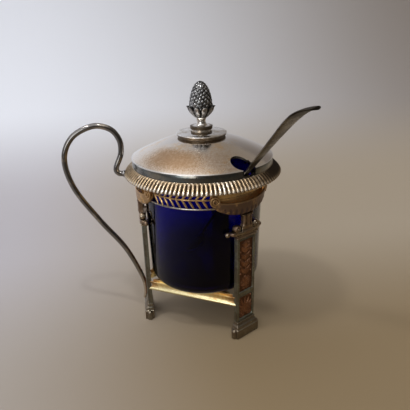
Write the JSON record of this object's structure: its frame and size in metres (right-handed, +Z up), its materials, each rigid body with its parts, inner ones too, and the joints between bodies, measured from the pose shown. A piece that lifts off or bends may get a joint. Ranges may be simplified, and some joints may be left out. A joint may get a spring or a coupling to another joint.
{
  "type": "mustard pot",
  "caption": "Footed silver mustard pot: openwork frame with a looped handle, lift-out blue glass liner, lift-off domed lid with a pine-cone knob, and a spoon in the lid's notch.",
  "frame": {"origin": "on the table, at the pot's upright axis, midway between the feet", "axes": "+Z up along the pot's axis, -X towards the handle, so +Y is across the handle"},
  "size_m": [0.1161, 0.1074, 0.1356],
  "materials": {
    "silver": "polished silver with light tarnish",
    "worn_silver": "silver tarnished golden in the hollows",
    "brown_silver": "silver tarnished reddish brown",
    "gilt_silver": "worn golden tone",
    "cobalt_glass": "cobalt blue, clear and polished"
  },
  "bodies": {
    "frame": {"gadroon_ring": "worn_silver", "frieze_band": "gilt_silver", "frieze_wire": "silver", "pilaster_1": "brown_silver", "pilaster_2": "brown_silver", "pilaster_3": "brown_silver", "panel_relief_1": "worn_silver", "panel_relief_2": "worn_silver", "panel_relief_3": "worn_silver", "capital_1": "brown_silver", "capital_2": "brown_silver", "capital_3": "brown_silver", "plinth_1": "brown_silver", "plinth_2": "brown_silver", "plinth_3": "brown_silver", "stem_1": "worn_silver", "stem_2": "worn_silver", "stem_3": "worn_silver", "bowl_1": "brown_silver", "bowl_2": "brown_silver", "bowl_3": "brown_silver", "stretcher_1": "gilt_silver", "stretcher_2": "gilt_silver", "stretcher_3": "gilt_silver", "handle": "silver"},
    "liner": {"glass_liner": "cobalt_glass"},
    "lid": {"lid_dome": "silver", "lid_band": "silver", "lid_bezel": "silver", "finial_disc": "silver", "finial_collar": "worn_silver", "finial_calyx": "worn_silver", "finial_cone": "worn_silver", "finial_stud": "silver", "finial_nut": "silver"},
    "spoon": {"mustard_spoon": "silver"}
  },
  "joints": [
    {"name": "liner_lift", "type": "slide", "parent": "frame", "child": "liner", "axis": [0, 0, 1], "range_m": [0, 0.08]},
    {"name": "lid_lift", "type": "slide", "parent": "liner", "child": "lid", "axis": [0, 0, 1], "range_m": [0, 0.05]},
    {"name": "spoon_slide", "type": "slide", "parent": "liner", "child": "spoon", "axis": [0.3044, -0.5272, 0.7934], "range_m": [0, 0.035]}
  ]
}
